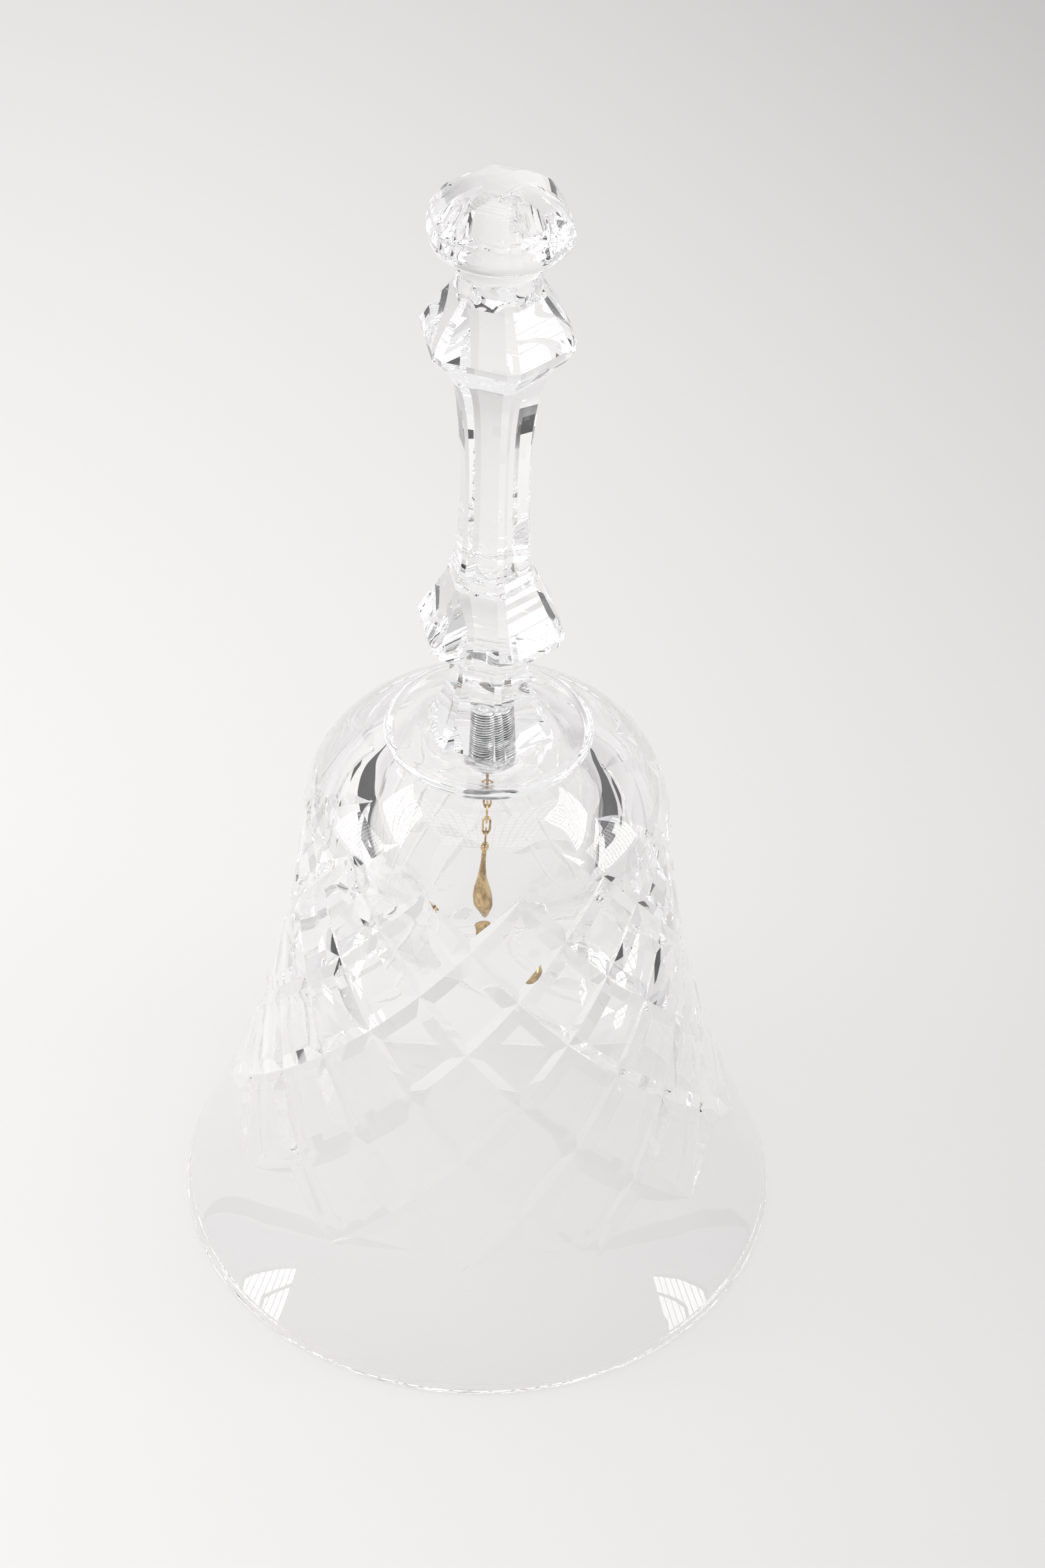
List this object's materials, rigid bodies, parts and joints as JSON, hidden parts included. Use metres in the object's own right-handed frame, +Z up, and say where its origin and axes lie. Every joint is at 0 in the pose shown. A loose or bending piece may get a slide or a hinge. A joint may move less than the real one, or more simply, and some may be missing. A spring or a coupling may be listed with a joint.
{
  "type": "cut-glass hand bell",
  "caption": "Hand bell of clear cut glass with a flared body, a diamond lattice cut, a faceted handle on a round foot, and a small drop clapper on a fine chain.",
  "frame": {"origin": "centre of the mouth, on the plane of the rim that the bell stands on", "axes": "+Z up along the bell's axis to the top of the handle, -Y towards the front"},
  "size_m": [0.0992, 0.0992, 0.1997],
  "materials": {
    "bell_glass": "clear polished lead crystal with polished bevel cuts",
    "handle_glass": "clear polished lead crystal with flat polished facets",
    "steel": "plain turned steel, slightly dull",
    "bedding": "whitish set bedding compound with a ragged edge",
    "brass": "polished brass, a little darkened"
  },
  "bodies": {
    "bell": {"bell_shell": "bell_glass", "handle": "handle_glass", "threaded_tube": "steel", "bedding_ring": "bedding", "clamp_washer": "steel", "clamp_nut": "steel", "eye_pin": "steel"},
    "link_1": {"chain_link_1": "brass"},
    "link_2": {"chain_link_2": "brass"},
    "link_3": {"chain_link_3": "brass"},
    "link_4": {"chain_link_4": "brass"},
    "link_5": {"chain_link_5": "brass"},
    "link_6": {"chain_link_6": "brass"},
    "link_7": {"chain_link_7": "brass"},
    "clapper": {"clapper": "brass"}
  },
  "joints": [
    {"name": "link_1_swing", "type": "hinge", "parent": "bell", "child": "link_1", "pos_m": [0, 0, 0.0872], "axis": [1, 0, 0], "range_deg": [-25, 25]},
    {"name": "link_2_swing", "type": "hinge", "parent": "link_1", "child": "link_2", "pos_m": [0, 0, 0.08456], "axis": [0, 1, 0], "range_deg": [-25, 25]},
    {"name": "link_3_swing", "type": "hinge", "parent": "link_2", "child": "link_3", "pos_m": [0, 0, 0.08192], "axis": [1, 0, 0], "range_deg": [-6, 6]},
    {"name": "link_4_swing", "type": "hinge", "parent": "link_3", "child": "link_4", "pos_m": [0, 0, 0.07928], "axis": [0, 1, 0], "range_deg": [-6, 6]},
    {"name": "link_5_swing", "type": "hinge", "parent": "link_4", "child": "link_5", "pos_m": [0, 0, 0.07664], "axis": [1, 0, 0], "range_deg": [-6, 6]},
    {"name": "link_6_swing", "type": "hinge", "parent": "link_5", "child": "link_6", "pos_m": [0, 0, 0.074], "axis": [0, 1, 0], "range_deg": [-6, 6]},
    {"name": "link_7_swing", "type": "hinge", "parent": "link_6", "child": "link_7", "pos_m": [0, 0, 0.07136], "axis": [1, 0, 0], "range_deg": [-6, 6]},
    {"name": "clapper_swing", "type": "hinge", "parent": "link_7", "child": "clapper", "pos_m": [0, 0, 0.06872], "axis": [0, 1, 0], "range_deg": [-6, 6]}
  ]
}
